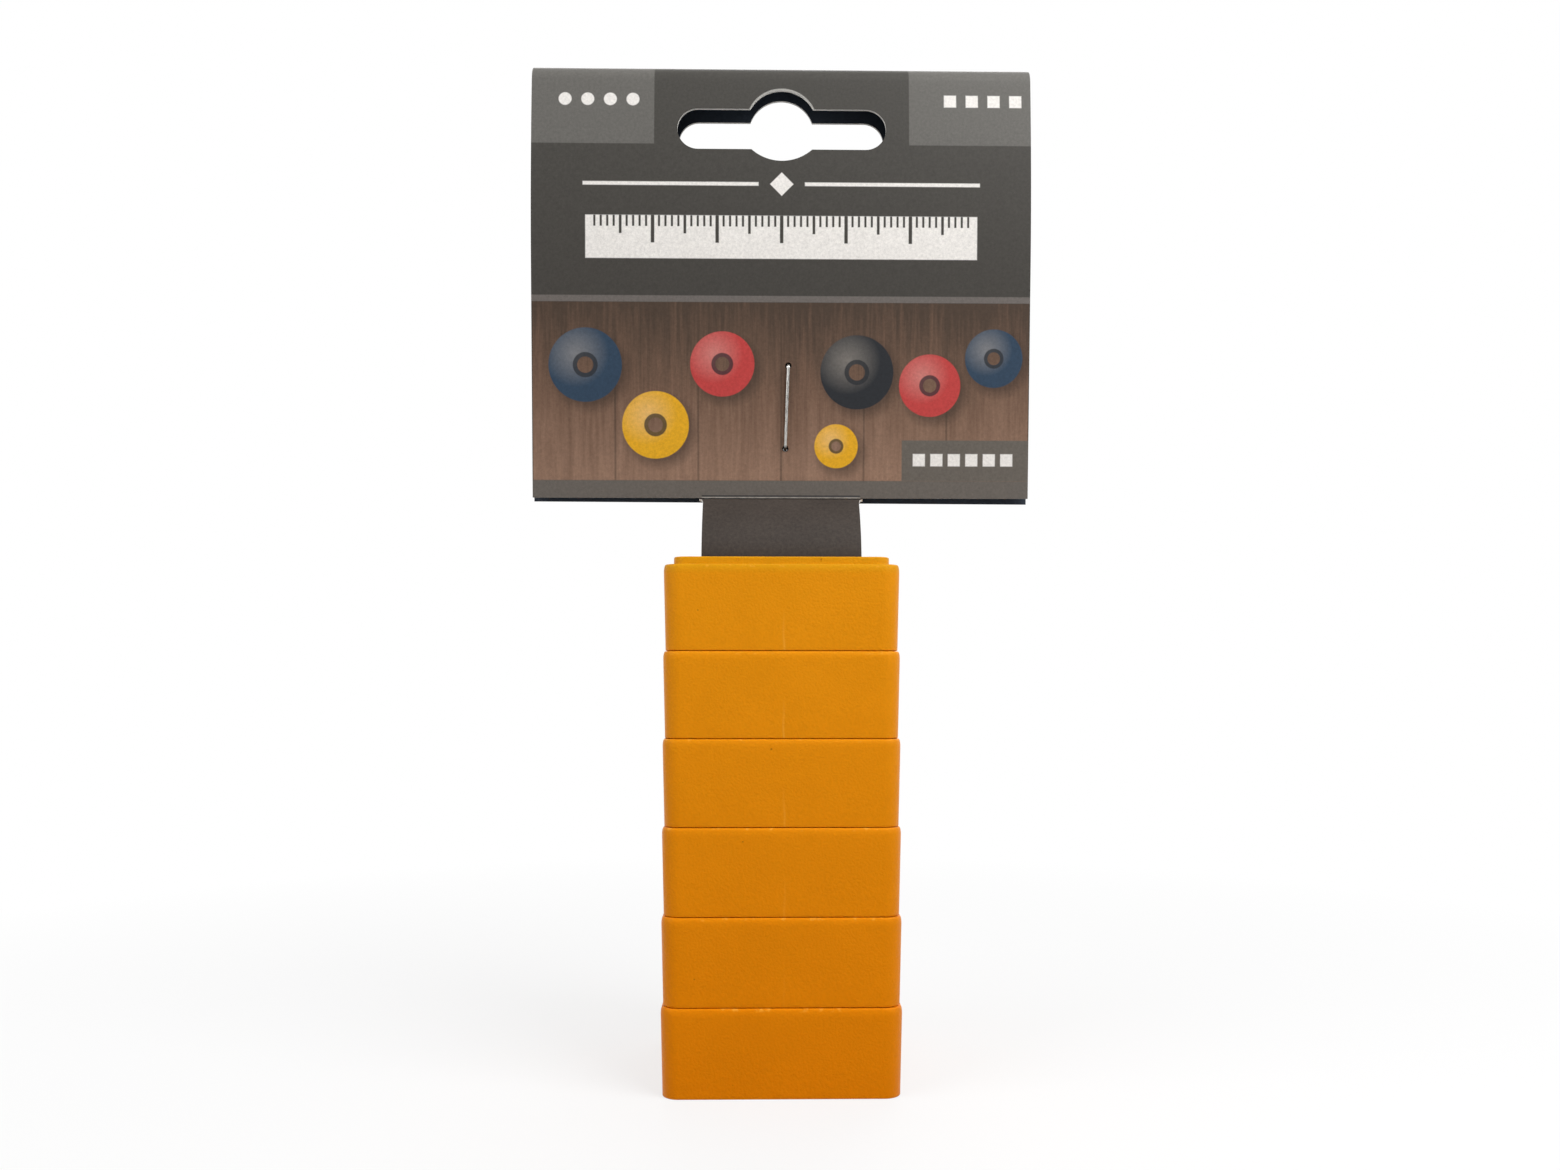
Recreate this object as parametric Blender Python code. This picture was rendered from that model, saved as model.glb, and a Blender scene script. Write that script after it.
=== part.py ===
"""Six stacking spacer blocks threaded on a folded card hanger, closed by a wire staple."""

import math

import bmesh
import bpy
from mathutils import Vector

MM = 0.001

BLOCK_COUNT = 6
STACK_PITCH = 13.0
JOINT_GAP = 0.25
BLOCK_TOP_WIDTH = 35.6
BLOCK_BOTTOM_WIDTH = 34.9
BLOCK_CORNER_RADIUS = 2.5
BLOCK_EDGE_ROUND = 0.35
LAND_WIDTH = 32.6
LAND_HEIGHT = 0.9
LAND_CORNER_RADIUS = 1.8
NEST_WIDTH = 33.1
NEST_DEPTH = 1.25
TOP_PLATE = 2.2
SLOT_LENGTH = 26.6
SLOT_WIDTH = 2.5
SLOT_OFFSET = 13.5
SCREW_HOLE_DIAMETER = 5.3
SCREW_HOLE_OFFSET = 11.1
BOSS_RADIUS = 4.3
HUB_RADIUS = 4.4
RIB_HALF = 0.7
POCKET_HALF_X = 15.2
POCKET_HALF_Y = 10.7
GATE_RECESS_DIAMETER = 11.4
GATE_RECESS_DEPTH = 0.5

CARD = 0.45
HEADER_WIDTH = 77.6
STRAP_WIDTH = 24.4
STRAP_LINE = 13.6
CREASE_Y = -8.5
CREASE_Z = 88.9
CREASE_GAP = 0.15
LAYER_STEP = 0.75
BEND_RADIUS = 2.5
HEADER_TOP = 156.4
HEADER_LEAN = 7.2
LEAN_END_Z = 124.0
UPRIGHT_Z = 151.0
BACK_OVERHANG = 0.55
TAB_TOP = 113.4
STRAP_UNDER_Z = 0.55
STRAP_BEND_Z = 81.0
REAR_BEND = 2.0
REAR_BEND_Z = 85.1

HANG_SLOT_LENGTH = 31.8
HANG_SLOT_HEIGHT = 6.1
HANG_SLOT_Z = 145.8
HANG_ROUND_RADIUS = 5.5
HANG_ROUND_Z = 146.5

STAPLE_WIRE = 0.5
STAPLE_X = 1.1
STAPLE_LOW_Z = 96.7
STAPLE_HIGH_Z = 109.5
STAPLE_HOLE = 1.2


def clear_scene():
    for obj in list(bpy.data.objects):
        bpy.data.objects.remove(obj, do_unlink=True)


def make_material(name, colour, roughness, metallic=0.0):
    material = bpy.data.materials.new(name)
    material.use_nodes = True
    shader = material.node_tree.nodes["Principled BSDF"]
    shader.inputs["Base Color"].default_value = (*colour, 1.0)
    shader.inputs["Roughness"].default_value = roughness
    shader.inputs["Metallic"].default_value = metallic
    material.diffuse_color = (*colour, 1.0)
    return material


def add_object(name, points, faces, material=None, origin=(0.0, 0.0, 0.0)):
    mesh = bpy.data.meshes.new(name)
    base = Vector(origin)
    mesh.from_pydata([(Vector(p) - base) * MM for p in points], [], faces)
    bm = bmesh.new()
    bm.from_mesh(mesh)
    bmesh.ops.recalc_face_normals(bm, faces=bm.faces)
    bm.to_mesh(mesh)
    bm.free()
    obj = bpy.data.objects.new(name, mesh)
    obj.location = base * MM
    bpy.context.scene.collection.objects.link(obj)
    if material:
        mesh.materials.append(material)
    return obj


def arc(centre_x, centre_y, radius, start, end, steps):
    found = []
    for i in range(steps + 1):
        angle = math.radians(start + (end - start) * i / steps)
        found.append((centre_x + radius * math.cos(angle), centre_y + radius * math.sin(angle)))
    return found


def rounded_rect(width, depth, radius, steps=5):
    x = width / 2 - radius
    y = depth / 2 - radius
    found = arc(x, -y, radius, -90, 0, steps)
    found += arc(x, y, radius, 0, 90, steps)
    found += arc(-x, y, radius, 90, 180, steps)
    found += arc(-x, -y, radius, 180, 270, steps)
    return found


def loft(rings):
    """Closed surface through outlines of equal length, each given with its height."""
    count = len(rings[0][0])
    points = [(x, y, z) for outline, z in rings for x, y in outline]
    faces = [list(range(count))[::-1]]
    for k in range(len(rings) - 1):
        for i in range(count):
            j = (i + 1) % count
            faces.append([k * count + i, k * count + j, (k + 1) * count + j, (k + 1) * count + i])
    last = (len(rings) - 1) * count
    faces.append([last + i for i in range(count)])
    return points, faces


def joined(shapes):
    points = []
    faces = []
    for shape_points, shape_faces in shapes:
        base = len(points)
        points += shape_points
        faces += [[base + i for i in face] for face in shape_faces]
    return points, faces


def prism(outline, low, high):
    return loft([(outline, low), (outline, high)])


def shifted(outline, x, y):
    return [(px + x, py + y) for px, py in outline]


def cut(obj, cutter):
    cutter.hide_render = True
    cutter.display_type = "WIRE"
    modifier = obj.modifiers.new("cut_" + cutter.name, "BOOLEAN")
    modifier.operation = "DIFFERENCE"
    modifier.solver = "EXACT"
    modifier.object = cutter


def pocket_outline():
    """Core pocket of one quarter of the block, bounded by the ribs, the hub and the screw boss."""
    hub_angle = math.degrees(math.asin(RIB_HALF / HUB_RADIUS))
    boss_side = POCKET_HALF_X - SCREW_HOLE_OFFSET
    boss_start = math.degrees(math.acos(boss_side / BOSS_RADIUS))
    boss_end = 180 - math.degrees(math.asin(RIB_HALF / BOSS_RADIUS))
    outline = arc(SCREW_HOLE_OFFSET, 0, BOSS_RADIUS, boss_start, boss_end, 7)
    outline += arc(0, 0, HUB_RADIUS, hub_angle, 90 - hub_angle, 4)
    outline.append((RIB_HALF, POCKET_HALF_Y))
    outline += arc(POCKET_HALF_X - 1.2, POCKET_HALF_Y - 1.2, 1.2, 90, 0, 2)
    return outline


def block_shape():
    radius = BLOCK_CORNER_RADIUS
    shoulder = STACK_PITCH - JOINT_GAP
    draft = (BLOCK_TOP_WIDTH - BLOCK_BOTTOM_WIDTH) / shoulder
    edge = BLOCK_EDGE_ROUND
    rings = []
    profile = (
        (0.0, -2 * 0.25, 0.25),
        (0.08, -2 * 0.07, 0.07),
        (0.25, 0.0, 0.0),
        (shoulder - edge, 0.0, 0.0),
        (shoulder - 0.1, -2 * 0.1, 0.1),
        (shoulder, -2 * edge, edge),
    )
    for z, inset, inner in profile:
        width = BLOCK_BOTTOM_WIDTH + draft * z + inset
        rings.append((rounded_rect(width, width, radius - inner), z))
    top = shoulder + LAND_HEIGHT
    rings.append((rounded_rect(LAND_WIDTH, LAND_WIDTH, LAND_CORNER_RADIUS), shoulder))
    rings.append((rounded_rect(LAND_WIDTH, LAND_WIDTH, LAND_CORNER_RADIUS), top - 0.2))
    rings.append((rounded_rect(LAND_WIDTH - 0.4, LAND_WIDTH - 0.4, LAND_CORNER_RADIUS - 0.2), top))
    return loft(rings)


def block_cutters():
    top = STACK_PITCH - JOINT_GAP + LAND_HEIGHT
    quarter = pocket_outline()
    shapes = []
    for sx in (1, -1):
        for sy in (1, -1):
            outline = [(sx * x, sy * y) for x, y in quarter]
            shapes.append(prism(outline, -1.0, top - TOP_PLATE))
    slot = rounded_rect(SLOT_LENGTH, SLOT_WIDTH, SLOT_WIDTH / 2 - 0.01, 4)
    for sy in (1, -1):
        shapes.append(prism(shifted(slot, 0, sy * SLOT_OFFSET), -1.0, top + 1.0))
    hole = arc(0, 0, SCREW_HOLE_DIAMETER / 2, 0, 360 * 15 / 16, 15)
    for sx in (1, -1):
        shapes.append(prism(shifted(hole, sx * SCREW_HOLE_OFFSET, 0), -1.0, top + 1.0))
    gate = arc(0, 0, GATE_RECESS_DIAMETER / 2, 0, 360 * 19 / 20, 19)
    shapes.append(prism(gate, top - GATE_RECESS_DEPTH, top + 1.0))
    return joined(shapes)


def build_blocks(material):
    for index in range(BLOCK_COUNT):
        base = (BLOCK_COUNT - 1 - index) * STACK_PITCH
        name = f"block_{index + 1}"
        points, faces = block_shape()
        lift = [(x, y, z + base) for x, y, z in points]
        block = add_object(name, lift, faces, material, (0, 0, base))
        nest = prism(rounded_rect(NEST_WIDTH, NEST_WIDTH, LAND_CORNER_RADIUS + 0.25), -1.0, NEST_DEPTH)
        for suffix, (cut_points, cut_faces) in (("nest", nest), ("core", block_cutters())):
            moved = [(x, y, z + base) for x, y, z in cut_points]
            cutter = add_object(f"{name}_{suffix}", moved, cut_faces, None, (0, 0, base))
            cut(block, cutter)


def offset_line(line, distance):
    """The polyline (y, z) moved sideways, to the left of its direction."""
    found = []
    for i, point in enumerate(line):
        before = Vector(line[max(i - 1, 0)])
        after = Vector(line[min(i + 1, len(line) - 1)])
        here = Vector(point)
        normals = []
        for a, b in ((before, here), (here, after)):
            step = b - a
            if step.length > 1e-9:
                step.normalize()
                normals.append(Vector((-step.y, step.x)))
        mean = sum(normals, Vector((0, 0)))
        mean.normalize()
        scale = distance / max(mean.dot(normals[0]), 0.3)
        found.append((here.x + mean.x * scale, here.y + mean.y * scale))
    return found


def sheet(line, half_width, thickness):
    """Card that follows a line in the Y-Z plane and runs straight across in X."""
    left = offset_line(line, thickness / 2)
    right = offset_line(line, -thickness / 2)
    outline = left + right[::-1]
    count = len(outline)
    n = len(line)
    points = [(-half_width, y, z) for y, z in outline]
    points += [(half_width, y, z) for y, z in outline]
    faces = []
    for i in range(count):
        j = (i + 1) % count
        faces.append([i, j, count + j, count + i])
    for i in range(n - 1):
        a, b = i, i + 1
        c, d = count - 2 - i, count - 1 - i
        faces.append([a, d, c, b])
        faces.append([count + a, count + b, count + c, count + d])
    return points, faces


def front_y(z):
    """Depth of the front panel: it leans forward from the crease, then eases upright below the bend."""
    slope = math.tan(math.radians(HEADER_LEAN))
    straight = min(z, LEAN_END_Z) - CREASE_Z
    over = min(max(z - LEAN_END_Z, 0.0), UPRIGHT_Z - LEAN_END_Z)
    eased = over - over**2 / (2 * (UPRIGHT_Z - LEAN_END_Z))
    return CREASE_Y - slope * (straight + eased)


def back_y(z):
    """Depth of the rear panel: pinched against the front one at the staple, upright above it."""
    return max(front_y(z) + 2 * LAYER_STEP, front_y(HEADER_TOP) + 2 * BEND_RADIUS)


def heights(low, high, steps):
    return [low + (high - low) * i / steps for i in range(steps + 1)]


def header_line():
    """Section of the header: up the front panel, over the top bend and down the rear panel."""
    bend_z = HEADER_TOP - CARD / 2 - BEND_RADIUS
    front = [(front_y(z), z) for z in heights(CREASE_Z + CREASE_GAP, bend_z, 10)]
    bend = arc(front_y(HEADER_TOP) + BEND_RADIUS, bend_z, BEND_RADIUS, 180, 0, 8)[1:-1]
    back = [(back_y(z), z) for z in heights(CREASE_Z - BACK_OVERHANG, bend_z, 10)]
    return front + bend + back[::-1]


def tab_line():
    """End tab, between the two panels."""
    return [(front_y(z) + LAYER_STEP, z) for z in heights(CREASE_Z + 0.25, TAB_TOP, 3)]


def along_y(outline, low, high):
    """Cutter with an outline in X-Z that runs along Y."""
    points, faces = prism(outline, low, high)
    return [(x, z, y) for x, y, z in points], faces


def hang_slot_outline():
    """Arms with round ends, and a round opening in the middle that centres on the peg."""
    half = HANG_SLOT_LENGTH / 2
    arm = HANG_SLOT_HEIGHT / 2
    top = HANG_SLOT_Z + arm
    low = HANG_SLOT_Z - arm
    high_angle = math.degrees(math.asin((top - HANG_ROUND_Z) / HANG_ROUND_RADIUS))
    low_angle = math.degrees(math.asin((low - HANG_ROUND_Z) / HANG_ROUND_RADIUS))
    outline = arc(half - arm, HANG_SLOT_Z, arm, -90, 90, 8)
    outline += arc(0, HANG_ROUND_Z, HANG_ROUND_RADIUS, high_angle, 180 - high_angle, 10)
    outline += arc(-half + arm, HANG_SLOT_Z, arm, 90, 270, 8)
    outline += arc(0, HANG_ROUND_Z, HANG_ROUND_RADIUS, 180 - low_angle, 360 + low_angle, 10)
    return outline


def staple_cutter(name):
    hole = arc(0, 0, STAPLE_HOLE / 2, 0, 360 * 7 / 8, 7)
    shapes = []
    for z in (STAPLE_LOW_Z, STAPLE_HIGH_Z):
        shapes.append(along_y(shifted(hole, STAPLE_X, z), -24.0, -5.0))
    points, faces = joined(shapes)
    return add_object(name, points, faces)


def build_card(material):
    hinge = (0.0, CREASE_Y, CREASE_Z)
    header = add_object("header_card", *sheet(header_line(), HEADER_WIDTH / 2, CARD), material, hinge)
    slot = add_object("header_card_slot", *along_y(hang_slot_outline(), -24.0, -5.0))
    cut(header, slot)
    cut(header, staple_cutter("header_card_staple"))

    tab = add_object("strap_end_tab", *sheet(tab_line(), STRAP_WIDTH / 2 - 0.6, CARD), material, hinge)
    cut(tab, staple_cutter("strap_end_tab_staple"))

    half = STRAP_WIDTH / 2
    under = STRAP_UNDER_Z
    foot = under + CARD / 2 + 0.525
    rise = CREASE_Z - CREASE_GAP - STRAP_BEND_Z
    reach = CREASE_Y + STRAP_LINE
    front = [(-STRAP_LINE, foot)]
    for i in range(7):
        t = i / 6
        front.append((-STRAP_LINE + reach * (1.6 * t**2 - 0.6 * t**3), STRAP_BEND_Z + rise * t))
    add_object("strap_front", *sheet(front, half, CARD), material)
    bottom = [(-STRAP_LINE + 0.45, under), (STRAP_LINE - 0.45, under)]
    add_object("strap_bottom", *sheet(bottom, half, CARD), material)
    rear = [(STRAP_LINE, foot)]
    rear += arc(STRAP_LINE - REAR_BEND, REAR_BEND_Z, REAR_BEND, 0, 88, 5)
    rear.append((CREASE_Y + 1.9, REAR_BEND_Z + REAR_BEND + 0.65))
    add_object("strap_rear", *sheet(rear, half, CARD), material)


def tube(path, radius, sides=8):
    """Round wire along a path that stays in one X plane."""
    points = []
    for i, point in enumerate(path):
        here = Vector(point)
        before = Vector(path[max(i - 1, 0)])
        after = Vector(path[min(i + 1, len(path) - 1)])
        along = (after - before).normalized()
        side = Vector((1, 0, 0))
        other = along.cross(side).normalized()
        for k in range(sides):
            angle = 2 * math.pi * k / sides
            points.append(here + (side * math.cos(angle) + other * math.sin(angle)) * radius)
    count = len(path)
    faces = [list(range(sides)), [(count - 1) * sides + k for k in range(sides)][::-1]]
    for i in range(count - 1):
        for k in range(sides):
            j = (k + 1) % sides
            faces.append([i * sides + k, (i + 1) * sides + k, (i + 1) * sides + j, i * sides + j])
    return points, faces


def build_staple(material):
    def panel(z, out):
        return (STAPLE_X, front_y(z) + out, z)

    wire = STAPLE_WIRE / 2
    proud = -(CARD / 2 + 0.1 + wire)
    behind = 2 * LAYER_STEP + CARD / 2 + 0.15 + wire
    low = STAPLE_LOW_Z
    high = STAPLE_HIGH_Z
    path = [
        panel(low + 4.6, behind + 0.1),
        panel(low + 2.4, behind + 0.12),
        panel(low + 0.7, behind + 0.02),
        panel(low + 0.2, behind - 0.2),
        panel(low, behind - 0.6),
        panel(low, proud + 0.45),
        panel(low + 0.12, proud + 0.14),
        panel(low + 0.45, proud),
        panel(high - 0.45, proud),
        panel(high - 0.12, proud + 0.14),
        panel(high, proud + 0.45),
        panel(high, behind - 0.6),
        panel(high - 0.2, behind - 0.2),
        panel(high - 0.7, behind + 0.02),
        panel(high - 2.4, behind + 0.12),
        panel(high - 4.6, behind + 0.1),
    ]
    add_object("staple", *tube(path, wire), material, (0.0, CREASE_Y, CREASE_Z))


clear_scene()
block_plastic = make_material("block_plastic", (0.72, 0.30, 0.02), 0.38)
card_stock = make_material("printed_card", (0.075, 0.070, 0.064), 0.55)
steel_wire = make_material("steel_wire", (0.60, 0.60, 0.58), 0.30, 1.0)
build_blocks(block_plastic)
build_card(card_stock)
build_staple(steel_wire)
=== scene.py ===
import math
from types import SimpleNamespace

import bmesh
import bpy
from mathutils import Matrix, Vector


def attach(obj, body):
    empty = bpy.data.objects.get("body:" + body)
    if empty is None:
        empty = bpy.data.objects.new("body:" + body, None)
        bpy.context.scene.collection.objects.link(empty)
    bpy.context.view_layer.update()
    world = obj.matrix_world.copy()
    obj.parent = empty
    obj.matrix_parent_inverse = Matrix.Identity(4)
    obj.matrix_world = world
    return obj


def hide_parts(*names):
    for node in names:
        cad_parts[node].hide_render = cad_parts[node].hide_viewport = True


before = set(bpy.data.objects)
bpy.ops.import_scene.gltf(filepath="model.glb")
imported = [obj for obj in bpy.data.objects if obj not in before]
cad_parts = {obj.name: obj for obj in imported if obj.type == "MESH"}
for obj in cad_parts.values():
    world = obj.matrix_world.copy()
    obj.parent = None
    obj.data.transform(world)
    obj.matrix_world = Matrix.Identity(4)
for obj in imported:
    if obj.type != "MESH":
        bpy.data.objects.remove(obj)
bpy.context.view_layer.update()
mm = 0.001
print("frame loaded:", len(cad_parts), "nodes")


def linear(hexText):
    parts = [int(hexText[i:i + 2], 16) / 255 for i in (1, 3, 5)]
    return [c / 12.92 if c <= 0.04045 else ((c + 0.055) / 1.055) ** 2.4 for c in parts] + [1.0]


def feed(tree, node, feeds):
    # a socket is linked, anything else is set on the input itself
    for key, value in feeds.items():
        if isinstance(value, bpy.types.NodeSocket):
            tree.links.new(value, node.inputs[key])
        else:
            node.inputs[key].default_value = value


def put(tree, kind, feeds=None, **settings):
    # a kind without Node in its name is a shader node; inputs by number: 1 to 4 are the from and to limits
    # of Map Range, 0, 6 and 7 the factor and the two colours of Mix
    node = tree.nodes.new(kind if "Node" in kind else "ShaderNode" + kind)
    for name, value in settings.items():
        setattr(node, name, value)
    feed(tree, node, feeds or {})
    return node


def startMaterial(name):
    material = bpy.data.materials.new(name)
    material.use_nodes = True
    return material, material.node_tree, material.node_tree.nodes["Principled BSDF"]


def newObject(name, data):
    made = bpy.data.objects.new(name, data)
    bpy.context.scene.collection.objects.link(made)
    return made


def meshPiece(name, points, faces, materials=(), faceSlots=None, turnOut=True):
    mesh = bpy.data.meshes.new(name)
    mesh.from_pydata([Vector(p) * mm for p in points], [], faces)
    for material in materials:
        mesh.materials.append(material)
    if faceSlots:
        mesh.polygons.foreach_set("material_index", faceSlots)
    if turnOut:
        bm = bmesh.new()
        bm.from_mesh(mesh)
        bmesh.ops.recalc_face_normals(bm, faces=bm.faces)
        bm.to_mesh(mesh)
        bm.free()
    return newObject(name, mesh)


def smoothShade(mesh, degrees):
    mesh.shade_smooth()
    mesh.set_sharp_from_angle(angle=math.radians(degrees))


def bake(piece):
    # what the modifiers give becomes a plain mesh, and the modifiers go
    bpy.context.view_layer.update()
    graph = bpy.context.evaluated_depsgraph_get()
    mesh = bpy.data.meshes.new_from_object(piece.evaluated_get(graph), depsgraph=graph)
    piece.modifiers.clear()
    name = piece.name
    if piece.type == "MESH":
        old = piece.data
        piece.data = mesh
        bpy.data.meshes.remove(old)
        mesh.name = name
        return piece
    bpy.data.objects.remove(piece)
    return newObject(name, mesh)


def cutAway(piece, cutters):
    for cutter in cutters:
        cutter.hide_render = True
        modifier = piece.modifiers.new("cut", "BOOLEAN")
        modifier.operation = "DIFFERENCE"
        modifier.solver = "EXACT"
        modifier.object = cutter
    piece = bake(piece)
    for cutter in cutters:
        bpy.data.objects.remove(cutter)
    return piece


def arc(cx, cy, radius, start, end, steps):
    turns = [math.radians(start + (end - start) * i / steps) for i in range(steps + 1)]
    return [(cx + radius * math.cos(a), cy + radius * math.sin(a)) for a in turns]


def circle(radius, count):
    return arc(0, 0, radius, 0, 360 * (count - 1) / count, count - 1)


def roundedRect(width, depth, radius, steps, hold=0.0):
    # hold adds a point each side of a corner, which keeps the flats flat under smooth shading
    x, y = width / 2 - radius, depth / 2 - radius
    corners = ((x, -y, -90, (-hold, 0), (0, hold)), (x, y, 0, (0, -hold), (-hold, 0)),
               (-x, y, 90, (hold, 0), (0, -hold)), (-x, -y, 180, (0, hold), (hold, 0)))
    outline = []
    for cx, cy, start, before, after in corners:
        bend = arc(cx, cy, radius, start, start + 90, steps)
        if hold:
            bend = [(bend[0][0] + before[0], bend[0][1] + before[1])] + bend
            bend.append((bend[-1][0] + after[0], bend[-1][1] + after[1]))
        outline += bend
    return outline


def loft(rings):
    count = len(rings[0][0])
    points = [(x, y, z) for outline, z in rings for x, y in outline]
    faces = [list(range(count))[::-1]]
    for k in range(len(rings) - 1):
        for i in range(count):
            j = (i + 1) % count
            faces.append([k * count + i, k * count + j, (k + 1) * count + j, (k + 1) * count + i])
    faces.append([(len(rings) - 1) * count + i for i in range(count)])
    return points, faces


def prism(outline, low, high):
    return loft([(outline, low), (outline, high)])


def joined(shapes):
    points, faces = [], []
    for shapePoints, shapeFaces in shapes:
        base = len(points)
        points += shapePoints
        faces += [[base + i for i in face] for face in shapeFaces]
    return points, faces


# orange blocks

spacerBlock = {
    # shell, in mm
    "count": 6, "pitch": 13.0, "shoulder": 12.9, "topWidth": 35.6, "bottomWidth": 34.9, "corner": 2.5,
    "edgeRound": 0.34, "edgeFall": 1.2, "footRound": 0.1, "wallHold": 0.6, "flatHold": 0.25,
    "land": 32.6, "landHeight": 1.25, "landCorner": 1.8, "landRound": 0.24, "landMargin": 0.7,
    "landFoot": ((-0.12, 0.0), (-0.02, 0.12), (0.0, 0.3)),
    "nest": 33.1, "nestDepth": 1.25, "nestCorner": 2.05, "plate": 2.2,
    "slotLength": 26.6, "slotWidth": 3.2, "slotOffset": 13.15, "hole": 5.3, "holeOffset": 11.1,
    "boss": 4.3, "hub": 4.4, "rib": 0.7, "pocketX": 15.2, "pocketY": 10.7, "pocketCorner": 1.2,
    "gate": 11.4, "gateDepth": 0.5, "stub": 4.4, "stubTear": 0.03,
    "stubRings": ((1.0, -0.05), (1.0, 0.12), (0.96, 0.2), (0.72, 0.24), (0.5, 0.21)),
    "nickX": (-6.6, 5.9), "nickHalf": 0.2, "nickDepth": 0.14, "nickLow": 0.62, "nickHigh": 0.3,
    "sharpAngle": 28, "stubSharpAngle": 40,
    # plastic: colours, sizes of its patterns in mm, and strengths
    # foot, head, headAt, crown and crownZ are painted light and shade: they set how the colour lightens up
    # the stack
    "foot": "#da7a02", "head": "#dc8b0f", "headAt": 0.985, "crown": "#cf8e10", "crownZ": 77.6,
    "weld": "#eba338", "dirt": "#6b3a08", "sheenTint": "#ffc45c",
    # stubDark and stubPale are a painted highlight on the sprue stub
    "stubDark": "#e2a546", "stubPale": "#f3dcae",
    "roughness": 0.42, "stubRoughness": 0.6, "toneSwing": 0.045, "bump": 0.75, "stubBump": 0.4, "bumpMm": 0.1,
    "cloudMm": 9.0, "grainMm": 0.34, "spotMm": 2.6, "scuffMm": 1.1, "dirtMm": 6.5, "stubGrainMm": 0.7,
    "knitMm": 4.0, "knitDrift": 0.6, "knitEdge": 0.22, "knitCore": 0.04, "knitTop": 6.2, "knitFull": 1.5,
    "knitFront": -16.8, "knitStrength": 0.5, "scuffFrom": 12.3, "scuffFull": 12.75, "scuffStrength": 0.6,
    "dirtStrength": 0.6, "glowMm": 0.8,
}


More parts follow.
